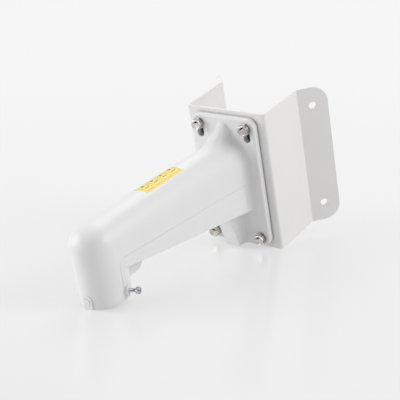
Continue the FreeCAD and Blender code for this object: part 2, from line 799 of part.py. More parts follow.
def armPieces():
    """Shell and cover, parted along the seam."""
    outside = feature("ArmOutside", armOutside())
    cavity = feature("ArmCavity", armCavity())
    hollow = cut("ArmHollow", outside, cavity)
    below = feature("BelowSeam", seamRegion(0))
    belowInset = feature("BelowSeamInset", seamRegion(size("seamGap")))

    # shell: the arm above the seam, the flange, the posts for the cover screws
    upper = cut("ArmUpper", hollow, below)
    castFlange = cut("FlangeAboveSeam", feature("FlangeCasting", flangeCasting()), below)
    flangeOutside = fuse("FlangeOutside", [castFlange, feature("Chin", chin()), feature("Nose", nose())])
    flange = cut("FlangeHollow", flangeOutside, cavity)
    posts = []
    for x, y, z in coverScrewPlaces():
        posts.append(Part.makeCylinder(POST_RADIUS, POST_REACH, V(x, y, z), Z_AXIS))
    postShape = posts[0].multiFuse(posts[1:])
    # the posts end just above the cover's sloping floor
    aboveFloor = WALL + POST_GAP
    ends = [(PLATE_FRONT, undersideZ(PLATE_FRONT) + aboveFloor), (SPOUT_Y, undersideZ(SPOUT_Y) + aboveFloor)]
    ends += [(SPOUT_Y, HALF_HEIGHT), (PLATE_FRONT, HALF_HEIGHT)]
    postShape = postShape.common(sideProfile(ends, HALF))
    insideArm = feature("Posts", postShape.common(armTube(WALL - 1, FLANGE_BACK)))
    shell = fuse("ShellFused", [upper, flange, insideArm])
    drills = boltHoles(FLANGE_FRONT - 12, 30, True)
    for x, y, z in coverScrewPlaces():
        drills.append(Part.makeCylinder(size("coverScrewRadius"), POST_DRILL, V(x, y, z), Z_AXIS))
    # the locating pin's hole goes through the front boss into the mouth
    pinStart = V(0, SPOUT_Y - HALF - CAST_IN, LOCK_Z)
    drills.append(Part.makeCylinder(PIN_RADIUS + PIN_CLEARANCE, 12, pinStart, Y_AXIS))
    drills += lockHoles()
    shellCut = cut("ShellDrilled", shell, feature("ShellDrills", Part.Compound(drills)))
    finish(shellCut, "arm_shell")

    # cover: the arm below the seam, with the elbow web, screw holes and lock-screw holes
    lowerWhole = common("ArmLower", hollow, belowInset)

    def seamEdge(edge):
        point = middle(edge)
        onSide = near(abs(point.x), HALF)
        onSeam = near(point.z, seamZ(point.y) - size("seamGap"), 0.1)
        return onSide and onSeam and edge.Length > 50

    lower = feature("ArmLowerEdged", lowerWhole.Shape.makeChamfer(
        SEAM_CHAMFER, [edge for edge in lowerWhole.Shape.Edges if seamEdge(edge)]))
    web = feature("ElbowWeb", elbowWeb().cut(armCavity()))
    coverFused = fuse("CoverFused", [lower, web])
    holes = []
    for x, y, z in coverScrewPlaces():
        shankHole = size("coverScrewRadius") + SCREW_HOLE_GAP
        headHole = size("coverScrewHead") + SCREW_HEAD_GAP
        holes.append(Part.makeCylinder(shankHole, 40, V(x, y, z - 20), Z_AXIS))
        holes.append(Part.makeCylinder(headHole, 10, V(x, y, z + SCREW_SEAT - 10), Z_AXIS))
    holes += lockHoles()
    coverCut = cut("CoverDrilled", coverFused, feature("CoverDrills", Part.Compound(holes)))
    finish(coverCut, "arm_cover")


def coverSeals():
    """Rubber strips that lie inside the seam, one on each side."""
    start = NECK_END - 6
    end = SPOUT_Y + size("seamBehindAxis") + 14
    high = size("sealHalfHeight")
    inside = HALF - WALL
    for side, name in ((-1, "left"), (1, "right")):
        points = [(start, seamZ(start) - high), (start, seamZ(start) + high),
                  (end, seamZ(end) + high), (end, seamZ(end) - high)]
        corners = [V(side * inside, y, z) for y, z in points]
        face = Part.Face(Part.makePolygon(corners + [corners[0]]))
        strip = face.extrude(V(-side * size("sealThick"), 0, 0))
        finish(feature("Seal_" + name, strip), "cover_seal_" + name)


# ---------------------------------------------------------------- flange hardware
WASHER_HOLE = "Sizes.boltRadius + %g" % HOLE_OVER_BOLT


def flangeGasket():
    """Rubber sheet between flange and plate, open in the middle for the cable."""
    inset = size("gasketInset")
    width = size("flangeWidth") - 2 * inset
    height = size("flangeHeight") - 2 * inset
    body = box("GasketSheet", "Sizes.flangeWidth - 2 * Sizes.gasketInset", "Sizes.gasketThick",
               "Sizes.flangeHeight - 2 * Sizes.gasketInset", (-width / 2, FLANGE_BACK, -height / 2))
    doc.recompute()
    rounded = fillet("GasketRounded", body, size("flangeRound") - inset,
                     lambda e: near(abs(middle(e).x), width / 2) and near(abs(middle(e).z), height / 2))
    window = armTube(WALL - 0.5, FLANGE_BACK + 5).common(
        Part.makeBox(200, 6, 300, V(-100, FLANGE_BACK - 2, -150)))
    windowTool = feature("GasketWindow", window)
    first = cut("GasketOpen", rounded, windowTool)
    drills = feature("GasketDrills", Part.Compound(boltHoles(FLANGE_BACK - 2, 8, False)))
    finish(cut("Gasket", first, drills), "flange_gasket")


def hexPrism(across, thick, position):
    """Hexagon, flats across, standing along +Y from a position."""
    radius = across / math.sqrt(3)
    corners = []
    for i in range(6):
        angle = math.radians(60 * i)
        corners.append(V(radius * math.cos(angle), 0, radius * math.sin(angle)))
    face = Part.Face(Part.makePolygon(corners + [corners[0]]))
    prism = face.extrude(V(0, thick, 0))
    prism.translate(position)
    return prism


def ring(name, outer, inner, thick, position):
    """A flat ring with its axis along +Y, sizes bound to the sheet."""
    disc = cylinder(name + "_disc", outer, thick, position, Y_AXIS)
    hole = cylinder(name + "_hole", inner, thick + " + 2", position - Y_AXIS, Y_AXIS)
    return cut(name + "_ring", disc, hole)


def flangeHardware():
    """Bolt, spring washer, flat washer, rear washer and nut at each corner."""
    flat = size("washerThick")
    spring = size("springWasherThick")
    headThick = size("boltHeadThick")
    for corner, (signX, signZ) in BOLT_PLACES.items():
        centre = V(signX * BOLT_X, 0, signZ * BOLT_Z)
        flatY = FLANGE_FRONT - flat
        springY = flatY - spring
        headY = springY - headThick
        flatRing = ring("Flat_" + corner, "Sizes.washerRadius", WASHER_HOLE, "Sizes.washerThick",
                        centre + V(0, flatY, 0))
        finish(flatRing, "flat_washer_" + corner)
        springRing = ring("Spring_" + corner, "Sizes.springWasherRadius", WASHER_HOLE,
                          "Sizes.springWasherThick", centre + V(0, springY, 0))
        splitCorner = centre + V(-SPLIT_WIDTH / 2, springY - 1, 2)
        split = feature("Split_" + corner, Part.makeBox(SPLIT_WIDTH, spring + 2, 8, splitCorner))
        finish(cut("SpringSplit_" + corner, springRing, split), "spring_washer_" + corner)

        head = hexPrism(size("boltHeadAcross"), headThick, centre + V(0, headY, 0))
        # the head's corners are turned off by a cone, as on a rolled bolt
        turnedRadius = size("boltHeadAcross") / 2 - HEAD_TURNED
        cone = Part.makeCone(turnedRadius, turnedRadius + 8.2, 5.5, centre + V(0, headY, 0), Y_AXIS)
        head = head.common(cone)
        shank = Part.makeCylinder(size("boltRadius"), size("boltShank"), centre + V(0, springY, 0), Y_AXIS)
        finish(feature("Bolt_" + corner, head.fuse(shank).removeSplitter()), "flange_bolt_" + corner)

        rearRing = ring("Rear_" + corner, "Sizes.washerRadius", WASHER_HOLE, "Sizes.washerThick",
                        centre + V(0, PLATE_BACK, 0))
        finish(rearRing, "rear_washer_" + corner)
        nutY = PLATE_BACK + flat
        nut = hexPrism(size("boltHeadAcross"), size("nutThick"), centre + V(0, nutY, 0))
        bore = Part.makeCylinder(size("boltRadius"), size("nutThick"), centre + V(0, nutY, 0), Y_AXIS)
        finish(feature("Nut_" + corner, nut.cut(bore)), "rear_nut_" + corner)


# ---------------------------------------------------------------- screws, ring, pin, grommet, label
def coverScrews():
    """Pan-head screws that hold the cover, driven up from below."""
    for number, (x, y, z) in enumerate(coverScrewPlaces(), start=1):
        seat = z + SCREW_SEAT
        foot = seat - SCREW_HEAD_DROP
        head = Part.makeCylinder(size("coverScrewHead"), SCREW_HEAD_DROP, V(x, y, foot), Z_AXIS)
        shank = Part.makeCylinder(size("coverScrewRadius"), SCREW_SHANK, V(x, y, seat), Z_AXIS)
        long = CROSS_LENGTH
        wide = CROSS_WIDTH
        slot = Part.makeBox(long, wide, CROSS_DEPTH, V(x - long / 2, y - wide / 2, foot))
        slotAcross = Part.makeBox(wide, long, CROSS_DEPTH, V(x - wide / 2, y - long / 2, foot))
        screw = head.fuse(shank).cut(slot).cut(slotAcross)
        finish(feature("CoverScrew%d" % number, screw), "cover_screw_%d" % number)


def lockScrews():
    """Socket-head screw and its captive ring on each side, backed out as supplied."""
    headRadius = size("lockHeadRadius")
    headLength = size("lockHeadLength")
    shankRadius = size("lockShankRadius")
    shankLength = size("lockShankLength")
    clear = size("lockClearance")
    ringThick = size("lockRingThick")
    coreRadius = shankRadius - LOCK_GROOVE_DEPTH
    grooveWidth = ringThick + 2 * clear
    for side, name in ((-1, "left"), (1, "right")):
        along = lockDirection(side)
        headBase = size("lockBossFace") + size("lockOut")
        tipRadius = headBase - shankLength
        head = Part.makeCylinder(headRadius, headLength, lockPoint(side, headBase), along)
        shank = Part.makeCylinder(shankRadius, shankLength, lockPoint(side, tipRadius), along)
        socket = hexPrism(LOCK_SOCKET_ACROSS, LOCK_SOCKET_DEPTH + 1, V(0, 0, 0))
        socketFloor = lockPoint(side, headBase + headLength - LOCK_SOCKET_DEPTH)
        socket.Placement = FreeCAD.Placement(socketFloor, FreeCAD.Rotation(Y_AXIS, along))
        grooveStart = tipRadius + LOCK_GROOVE_FROM_TIP
        groove = Part.makeCylinder(shankRadius + 1, grooveWidth, lockPoint(side, grooveStart), along)
        core = Part.makeCylinder(coreRadius, grooveWidth, lockPoint(side, grooveStart), along)
        screw = head.fuse(shank).cut(socket).cut(groove.cut(core))
        finish(feature("LockScrew_" + name, screw.removeSplitter()), "lock_screw_" + name)
        ringStart = lockPoint(side, grooveStart + clear)
        disc = Part.makeCylinder(size("lockRingRadius"), ringThick, ringStart, along)
        hole = Part.makeCylinder(coreRadius + clear, ringThick + 2, lockPoint(side, grooveStart - 1), along)
        finish(feature("LockRing_" + name, disc.cut(hole)), "lock_ring_" + name)


def locatingPin():
    """Pin in the front boss, its outer end just proud of the boss."""
    outerEnd = HALF + FRONT_BOSS_PROUD + PIN_PROUD
    length = outerEnd - size("mouthRadius") - 0.3
    start = V(0, SPOUT_Y - outerEnd, LOCK_Z)
    finish(feature("LocatingPin", Part.makeCylinder(PIN_RADIUS, length, start, Y_AXIS)), "locating_pin")


def cableGrommet():
    """Rubber ring whose groove holds the edge of the plate's cable hole."""
    lip = GROMMET_LIP
    hole = size("cableHoleRadius")
    lipRadius = hole + GROMMET_OVERLAP
    sleeve = Part.makeCylinder(hole, SHEET, V(0, PLATE_FRONT, 0), Y_AXIS)
    front = Part.makeCylinder(lipRadius, lip, V(0, PLATE_FRONT - lip, 0), Y_AXIS)
    back = Part.makeCylinder(lipRadius, lip, V(0, PLATE_BACK, 0), Y_AXIS)
    way = Part.makeCylinder(size("grommetHole"), SHEET + 2 * lip + 2, V(0, PLATE_FRONT - lip - 1, 0), Y_AXIS)
    finish(feature("Grommet", sleeve.fuse([front, back]).cut(way).removeSplitter()), "cable_grommet")


def topLabel():
    """Sticker that follows the arm's crown."""
    thick = size("labelThick")
    start = FLANGE_FRONT + CAST_IN
    skin = armTube(-thick - LABEL_GLUE, start).cut(armTube(-LABEL_GLUE, start))
    start = PLATE_FRONT - LABEL_START
    length = size("labelLength")
    patch = Part.makeBox(LABEL_RIGHT - LABEL_LEFT, length, 100, V(LABEL_LEFT, start - length, 45))
    finish(feature("TopLabel", skin.common(patch)), "top_label")


# ---------------------------------------------------------------- build, check, write
def checkAndWrite():
    doc.recompute()
    for obj in doc.Objects:
        if "Invalid" in obj.State or "Error" in obj.State:
            raise RuntimeError("failed: " + obj.Name)
    for label, obj in finished:
        shape = obj.Shape
        if shape.isNull() or not shape.isValid():
            raise RuntimeError("bad shape: " + label)
    os.makedirs("parts", exist_ok=True)
    for label, obj in finished:
        shape = obj.Shape
        shape.exportStep(os.path.join("parts", label + ".step"))
        print("%-28s solids %d volume %.0f" % (label, len(shape.Solids), shape.Volume))


cornerPlate()
armPieces()
coverSeals()
flangeGasket()
flangeHardware()
coverScrews()
lockScrews()
locatingPin()
cableGrommet()
topLabel()
checkAndWrite()
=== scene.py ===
import math

import bmesh
import bpy
from mathutils import Matrix, Vector


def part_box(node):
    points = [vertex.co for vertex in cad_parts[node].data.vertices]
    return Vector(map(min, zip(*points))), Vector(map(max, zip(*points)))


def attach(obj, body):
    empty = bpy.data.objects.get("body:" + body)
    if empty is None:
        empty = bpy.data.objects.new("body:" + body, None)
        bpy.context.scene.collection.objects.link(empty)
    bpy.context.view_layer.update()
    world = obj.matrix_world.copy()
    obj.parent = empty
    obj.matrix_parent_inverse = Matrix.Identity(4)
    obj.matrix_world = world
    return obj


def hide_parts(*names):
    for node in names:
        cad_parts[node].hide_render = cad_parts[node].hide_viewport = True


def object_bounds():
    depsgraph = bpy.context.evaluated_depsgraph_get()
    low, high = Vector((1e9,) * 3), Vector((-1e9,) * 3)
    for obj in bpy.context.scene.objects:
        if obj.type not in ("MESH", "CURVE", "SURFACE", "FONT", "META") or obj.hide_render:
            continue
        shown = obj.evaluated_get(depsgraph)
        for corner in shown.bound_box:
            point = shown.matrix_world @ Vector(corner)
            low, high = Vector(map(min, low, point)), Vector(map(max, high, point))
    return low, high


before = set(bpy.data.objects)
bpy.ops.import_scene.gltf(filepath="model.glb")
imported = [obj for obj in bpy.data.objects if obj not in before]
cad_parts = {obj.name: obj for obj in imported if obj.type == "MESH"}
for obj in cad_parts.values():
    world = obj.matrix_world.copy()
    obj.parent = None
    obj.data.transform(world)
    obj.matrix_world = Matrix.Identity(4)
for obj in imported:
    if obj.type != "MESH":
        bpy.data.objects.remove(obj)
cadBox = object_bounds()
print("frame loaded:", len(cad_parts), "nodes")

mm = 0.001


# ---- small helpers

def centreOf(node):
    low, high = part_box(node)
    return (low + high) / 2


def frontMiddle(low, high):
    # middle of a box's face toward -Y
    return Vector(((low.x + high.x) / 2, low.y, (low.z + high.z) / 2))


def deselectAll():
    if bpy.context.object and bpy.context.object.mode != "OBJECT":
        bpy.ops.object.mode_set(mode="OBJECT")
    bpy.ops.object.select_all(action="DESELECT")


def useOnly(piece):
    deselectAll()
    piece.select_set(True)
    bpy.context.view_layer.objects.active = piece


def editMesh(piece, kind="FACE"):
    # edit mode with nothing picked
    useOnly(piece)
    bpy.ops.object.mode_set(mode="EDIT")
    bpy.ops.mesh.select_mode(type=kind)
    bpy.ops.mesh.select_all(action="DESELECT")


def pickFaces(piece, wanted):
    # faces are picked by their centre and normal
    mesh = bmesh.from_edit_mesh(piece.data)
    for face in mesh.faces:
        face.select_set(bool(wanted(face.calc_center_median(), face.normal)))
    mesh.select_flush_mode()
    bmesh.update_edit_mesh(piece.data)


def outwards(piece):
    editMesh(piece)
    bpy.ops.mesh.select_all(action="SELECT")
    bpy.ops.mesh.remove_doubles(threshold=0.00001)
    bpy.ops.mesh.normals_make_consistent(inside=False)
    bpy.ops.object.mode_set(mode="OBJECT")


def applyModifier(piece, kind, **settings):
    useOnly(piece)
    made = piece.modifiers.new(kind.lower(), kind)
    for name, value in settings.items():
        setattr(made, name, value)
    bpy.ops.object.modifier_apply(modifier=made.name)


def settle(piece, name, turn, at):
    # the place goes into the mesh, and the object stays at the origin
    piece.name = name
    piece.data.name = name
    piece.matrix_world = Matrix.Identity(4)
    piece.data.transform(Matrix.Translation(at) @ turn)
    piece.data.update()
    return piece


def copyPiece(piece):
    twin = piece.copy()
    twin.data = piece.data.copy()
    bpy.context.scene.collection.objects.link(twin)
    return twin


def joinPieces(pieces):
    deselectAll()
    for piece in pieces:
        piece.select_set(True)
    bpy.context.view_layer.objects.active = pieces[0]
    bpy.ops.object.join()
    return pieces[0]


def smoothByAngle(piece, degrees=35):
    useOnly(piece)
    bpy.ops.object.shade_smooth_by_angle(angle=math.radians(degrees))


def paint(piece, material):
    piece.data.materials.clear()
    piece.data.materials.append(material)


# ---- shared surface effects, as node groups

def newGroup(name, inputs, outputs):
    group = bpy.data.node_groups.new(name, "ShaderNodeTree")
    for label, value in inputs.items():
        socket = group.interface.new_socket(label, in_out="INPUT", socket_type="NodeSocketFloat")
        socket.default_value = value
    for label, kind in outputs.items():
        group.interface.new_socket(label, in_out="OUTPUT", socket_type=kind)
    start = group.nodes.new("NodeGroupInput")
    end = group.nodes.new("NodeGroupOutput")
    return group, start, end


def mathNode(tree, operation, first, second=None):
    node = tree.nodes.new("ShaderNodeMath")
    node.operation = operation
    for socket, value in zip(node.inputs, (first, second)):
        if value is None:
            continue
        if isinstance(value, (int, float)):
            socket.default_value = value
        else:
            tree.links.new(value, socket)
    return node.outputs[0]


def noiseNode(tree, vector, scale, detail=2.0, roughness=0.5):
    node = tree.nodes.new("ShaderNodeTexNoise")
    node.inputs["Detail"].default_value = detail
    node.inputs["Roughness"].default_value = roughness
    tree.links.new(vector, node.inputs["Vector"])
    if isinstance(scale, (int, float)):
        node.inputs["Scale"].default_value = scale
    else:
        tree.links.new(scale, node.inputs["Scale"])
    return node.outputs["Fac"]


def rangeNode(tree, value, fromLow, fromHigh, toLow, toHigh):
    node = tree.nodes.new("ShaderNodeMapRange")
    tree.links.new(value, node.inputs["Value"])
    ends = {"From Min": fromLow, "From Max": fromHigh, "To Min": toLow, "To Max": toHigh}
    for label, number in ends.items():
        if isinstance(number, (int, float)):
            node.inputs[label].default_value = number
        else:
            tree.links.new(number, node.inputs[label])
    return node.outputs["Result"]


def mixColour(tree, factor, first, second):
    node = tree.nodes.new("ShaderNodeMix")
    node.data_type = "RGBA"
    for socket, value in ((node.inputs[0], factor), (node.inputs[6], first), (node.inputs[7], second)):
        if isinstance(value, bpy.types.NodeSocket):
            tree.links.new(value, socket)
        elif isinstance(value, (int, float)):
            socket.default_value = value
        else:
            socket.default_value = (*value, 1.0)
    return node.outputs[2]


def objectPlace(tree):
    return tree.nodes.new("ShaderNodeTexCoord").outputs["Object"]


def makePowderGroup():
    # orange peel of a baked powder coat: a soft ripple, a finer grain and slow clouds of shade
    group, start, end = newGroup(
        "powderCoat",
        {"Peel Scale": 900.0, "Grain Scale": 3200.0, "Cloud Scale": 18.0},
        {"Height": "NodeSocketFloat", "Clouds": "NodeSocketFloat", "Speck": "NodeSocketFloat"})
    place = objectPlace(group)
    peel = noiseNode(group, place, start.outputs["Peel Scale"], 1.5)
    grain = noiseNode(group, place, start.outputs["Grain Scale"], 2.0)
    clouds = noiseNode(group, place, start.outputs["Cloud Scale"], 3.0)
    speckBase = noiseNode(group, place, 1400.0, 1.0)
    ripple = mathNode(group, "MULTIPLY", peel, 0.75)
    fineGrain = mathNode(group, "MULTIPLY", grain, 0.25)
    height = mathNode(group, "ADD", ripple, fineGrain)
    group.links.new(height, end.inputs["Height"])
    group.links.new(rangeNode(group, clouds, 0.3, 0.7, 0.0, 1.0), end.inputs["Clouds"])
    group.links.new(rangeNode(group, speckBase, 0.74, 0.80, 0.0, 1.0), end.inputs["Speck"])
    return group


def makeScratchGroup():
    # fine turned and handled marks on bright metal
    group, start, end = newGroup(
        "metalMarks",
        {"Fine Scale": 2500.0, "Smudge Scale": 160.0},
        {"Height": "NodeSocketFloat", "Smudge": "NodeSocketFloat"})
    place = objectPlace(group)
    stretch = group.nodes.new("ShaderNodeMapping")
    stretch.inputs["Scale"].default_value = (1.0, 0.12, 1.0)
    group.links.new(place, stretch.inputs["Vector"])
    fine = noiseNode(group, stretch.outputs["Vector"], start.outputs["Fine Scale"], 3.0)
    smudge = noiseNode(group, place, start.outputs["Smudge Scale"], 4.0, 0.6)
    group.links.new(fine, end.inputs["Height"])
    group.links.new(rangeNode(group, smudge, 0.35, 0.65, 0.0, 1.0), end.inputs["Smudge"])
    return group


powderGroup = makePowderGroup()
scratchGroup = makeScratchGroup()


def newMaterial(name):
    material = bpy.data.materials.new(name)
    material.use_nodes = True
    tree = material.node_tree
    shader = next(node for node in tree.nodes if node.type == "BSDF_PRINCIPLED")
    return material, tree, shader


def addGroup(tree, group, values=None):
    node = tree.nodes.new("ShaderNodeGroup")
    node.node_tree = group
    for label, value in (values or {}).items():
        node.inputs[label].default_value = value
    return node


def addBump(tree, shader, height, strength, distance):
    bump = tree.nodes.new("ShaderNodeBump")
    bump.inputs["Strength"].default_value = strength
    bump.inputs["Distance"].default_value = distance
    tree.links.new(height, bump.inputs["Height"])
    tree.links.new(bump.outputs["Normal"], shader.inputs["Normal"])
    return bump


def makeCoatPaint(name, look):
    # powder-coat paint over metal
    material, tree, shader = newMaterial(name)
    coat = addGroup(tree, powderGroup, {"Peel Scale": look["peelScale"], "Cloud Scale": look["cloudScale"]})
    shade = mixColour(tree, coat.outputs["Clouds"], look["colour"], look["cloudColour"])
    specks = mathNode(tree, "MULTIPLY", coat.outputs["Speck"], look["speck"])
    shade = mixColour(tree, specks, shade, look["speckColour"])
    tree.links.new(shade, shader.inputs["Base Color"])
    rough = rangeNode(tree, coat.outputs["Clouds"], 0.0, 1.0, look["roughLow"], look["roughHigh"])
    tree.links.new(rough, shader.inputs["Roughness"])
    shader.inputs["Specular IOR Level"].default_value = look["specular"]
    shader.inputs["Coat Weight"].default_value = look["coat"]
    shader.inputs["Coat Roughness"].default_value = look["coatRough"]
    bump = addBump(tree, shader, coat.outputs["Height"], look["bump"], 0.00006)
    if look["edge"]:
        bevel = tree.nodes.new("ShaderNodeBevel")
        bevel.inputs["Radius"].default_value = look["edge"]
        bevel.samples = 6
        tree.links.new(bevel.outputs["Normal"], bump.inputs["Normal"])
    return material


def makeMetal(name, look):
    material, tree, shader = newMaterial(name)
    marks = addGroup(tree, scratchGroup, {"Fine Scale": look["fineScale"]})
    shade = mixColour(tree, marks.outputs["Smudge"], look["colour"], look["darker"])
    tree.links.new(shade, shader.inputs["Base Color"])
    shader.inputs["Metallic"].default_value = look["metallic"]
    rough = rangeNode(tree, marks.outputs["Smudge"], 0.0, 1.0, look["roughLow"], look["roughHigh"])
    tree.links.new(rough, shader.inputs["Roughness"])
    addBump(tree, shader, marks.outputs["Height"], look["bump"], 0.00003)
    return material


def makeRubber(name, look):
    material, tree, shader = newMaterial(name)
    coat = addGroup(tree, powderGroup, {"Peel Scale": 1800.0, "Cloud Scale": 60.0})
    shade = mixColour(tree, coat.outputs["Clouds"], look["colour"], look["worn"])
    tree.links.new(shade, shader.inputs["Base Color"])
    rough = rangeNode(tree, coat.outputs["Clouds"], 0.0, 1.0, look["roughLow"], look["roughHigh"])
    tree.links.new(rough, shader.inputs["Roughness"])
    shader.inputs["Specular IOR Level"].default_value = 0.35
    addBump(tree, shader, coat.outputs["Height"], 0.5, 0.00008)
    return material


armLook = {
    "colour": (0.805, 0.803, 0.805), "cloudColour": (0.785, 0.783, 0.785),
    "cloudScale": 22.0, "peelScale": 900.0, "speck": 0.10, "speckColour": (0.60, 0.60, 0.61),
    "roughLow": 0.34, "roughHigh": 0.40,
    "specular": 0.45, "coat": 0.12, "coatRough": 0.25, "bump": 0.35, "edge": 0.0006}
plateLook = {
    "colour": (0.83, 0.822, 0.816), "cloudColour": (0.81, 0.802, 0.798),
    "cloudScale": 14.0, "peelScale": 1300.0, "speck": 0.22, "speckColour": (0.55, 0.54, 0.53),
    "roughLow": 0.44, "roughHigh": 0.52,
    "specular": 0.40, "coat": 0.0, "coatRough": 0.3, "bump": 0.55, "edge": 0.0005}
boltLook = {
    "colour": (0.72, 0.70, 0.67), "darker": (0.50, 0.48, 0.46), "metallic": 1.0, "fineScale": 2200.0,
    "roughLow": 0.20, "roughHigh": 0.36, "bump": 0.5}
washerLook = {
    "colour": (0.62, 0.61, 0.59), "darker": (0.42, 0.41, 0.40), "metallic": 1.0, "fineScale": 3000.0,
    "roughLow": 0.24, "roughHigh": 0.40, "bump": 0.5}
chromeLook = {
    "colour": (0.62, 0.62, 0.64), "darker": (0.48, 0.48, 0.50), "metallic": 1.0, "fineScale": 1500.0,
    "roughLow": 0.07, "roughHigh": 0.14, "bump": 0.15}
rubberLook = {
    "colour": (0.045, 0.045, 0.047), "worn": (0.075, 0.075, 0.078), "roughLow": 0.55, "roughHigh": 0.72}
gasketLook = {
    "colour": (0.035, 0.035, 0.038), "worn": (0.055, 0.055, 0.058), "roughLow": 0.6, "roughHigh": 0.78}

armPaint = makeCoatPaint("armPaint", armLook)
platePaint = makeCoatPaint("platePaint", plateLook)
boltSteel = makeMetal("boltSteel", boltLook)
washerSteel = makeMetal("washerSteel", washerLook)
screwChrome = makeMetal("screwChrome", chromeLook)
sealRubber = makeRubber("sealRubber", rubberLook)
gasketRubber = makeRubber("gasketRubber", gasketLook)
print("paint, steel and rubber made")


# ---- label: four plain cells with generic lines and dots

labelPrint = {
    "yellow": (0.86, 0.68, 0.10), "paler": (0.90, 0.76, 0.20),
    "line": (0.72, 0.20, 0.06), "mark": (0.05, 0.045, 0.03),
    "cells": 4, "border": 0.0016, "lineWidth": 0.0007, "markRadius": 0.0021,
    "ruleSlope": 0.9, "ruleAt": -0.0045, "ruleHalf": 0.00035,
    "dotAcross": 0.46, "barAcross": 0.72, "barHalfWide": 0.0006, "barHalfLong": 0.0042}


def makeLabelMaterial(name, look):
    # the print reads object coordinates: x across the arm, y along it
    low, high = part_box("top_label")
    cellLength = (high.y - low.y) / look["cells"]
    material, tree, shader = newMaterial(name)
    split = tree.nodes.new("ShaderNodeSeparateXYZ")
    tree.links.new(objectPlace(tree), split.inputs["Vector"])
    across = mathNode(tree, "SUBTRACT", split.outputs["X"], low.x)
    along = mathNode(tree, "SUBTRACT", split.outputs["Y"], low.y)
    width = high.x - low.x
    inCell = mathNode(tree, "MODULO", along, cellLength)
    fromCellEdge = mathNode(tree, "MINIMUM", inCell, mathNode(tree, "SUBTRACT", cellLength, inCell))
    fromSide = mathNode(tree, "MINIMUM", across, mathNode(tree, "SUBTRACT", width, across))
    inset = mathNode(tree, "MINIMUM", fromCellEdge, fromSide)

    def band(value, middle, half):
        # 1 where value is within half of middle
        away = mathNode(tree, "ABSOLUTE", mathNode(tree, "SUBTRACT", value, middle))
        return mathNode(tree, "LESS_THAN", away, half)

    cellLine = band(inset, look["border"] + 0.0006, look["lineWidth"] / 2)
    # a slanting rule and a short bar in each cell, then a dot
    slant = mathNode(tree, "SUBTRACT", mathNode(tree, "MULTIPLY", inCell, look["ruleSlope"]), across)
    rule = band(slant, look["ruleAt"], look["ruleHalf"])
    inside = mathNode(tree, "GREATER_THAN", inset, look["border"] + 0.001)
    lines = mathNode(tree, "MAXIMUM", cellLine, mathNode(tree, "MULTIPLY", rule, inside))
    fromDotX = mathNode(tree, "SUBTRACT", across, width * look["dotAcross"])
    fromDotY = mathNode(tree, "SUBTRACT", inCell, cellLength * 0.5)
    squareX = mathNode(tree, "POWER", fromDotX, 2.0)
    squareY = mathNode(tree, "POWER", fromDotY, 2.0)
    square = mathNode(tree, "ADD", squareX, squareY)
    dot = mathNode(tree, "LESS_THAN", square, look["markRadius"] ** 2)
    barAcross = band(across, width * look["barAcross"], look["barHalfWide"])
    barAlong = band(inCell, cellLength * 0.5, look["barHalfLong"])
    bar = mathNode(tree, "MULTIPLY", barAcross, barAlong)
    marks = mathNode(tree, "MAXIMUM", dot, bar)
    clouds = noiseNode(tree, objectPlace(tree), 240.0, 3.0)
    shade = mixColour(tree, clouds, look["yellow"], look["paler"])
    shade = mixColour(tree, lines, shade, look["line"])
    shade = mixColour(tree, marks, shade, look["mark"])
    tree.links.new(shade, shader.inputs["Base Color"])
    rough = rangeNode(tree, clouds, 0.0, 1.0, 0.28, 0.40)
    tree.links.new(rough, shader.inputs["Roughness"])
    shader.inputs["Specular IOR Level"].default_value = 0.5
    addBump(tree, shader, clouds, 0.15, 0.00005)
    return material


labelMaterial = makeLabelMaterial("labelPrint", labelPrint)
print("label print made")


# ---- CAD nodes that stay, with their finishes

corners = ("top_left", "top_right", "bottom_left", "bottom_right")
sides = ("left", "right")
nodeFinish = {
    "arm_shell": armPaint, "arm_cover": armPaint, "locating_pin": armPaint, "corner_plate": platePaint,
    "flange_gasket": gasketRubber, "cover_seal_left": sealRubber, "cover_seal_right": sealRubber,
    "cable_grommet": sealRubber, "top_label": labelMaterial}
for corner in corners:
    nodeFinish["flat_washer_" + corner] = washerSteel
    nodeFinish["rear_washer_" + corner] = washerSteel
for number in range(1, 5):
    nodeFinish["cover_screw_%d" % number] = boltSteel
for side in sides:
    nodeFinish["lock_ring_" + side] = washerSteel
for name, material in nodeFinish.items():
    paint(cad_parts[name], material)
print("CAD nodes finished:", len(nodeFinish))


# ---- threads and fasteners, each modelled along +Z from 0

def addCylinder(radius, low, high, sides=48):
    deselectAll()
    bpy.ops.mesh.primitive_cylinder_add(
        vertices=sides, radius=radius, depth=high - low, location=(0, 0, (low + high) / 2))
    piece = bpy.context.object
    bpy.ops.object.transform_apply(location=True, rotation=True, scale=True)
    return piece


def addCone(lowRadius, highRadius, low, high):
    deselectAll()
    bpy.ops.mesh.primitive_cone_add(
        vertices=72, radius1=lowRadius, radius2=highRadius, depth=high - low,
        location=(0, 0, (low + high) / 2))
    piece = bpy.context.object
    bpy.ops.object.transform_apply(location=True, rotation=True, scale=True)
    return piece


def carve(piece, tool, operation):
    applyModifier(piece, "BOOLEAN", object=tool, operation=operation, solver="EXACT")
    bpy.data.objects.remove(tool)


def bevelEdges(piece, width, segments=2, degrees=25):
    applyModifier(piece, "BEVEL", width=width, segments=segments, limit_method="ANGLE",
                  angle_limit=math.radians(degrees))


def fillOpenEnds(piece):
    editMesh(piece, "EDGE")
    bpy.ops.mesh.select_non_manifold()
    bpy.ops.mesh.fill()
    bpy.ops.object.mode_set(mode="OBJECT")


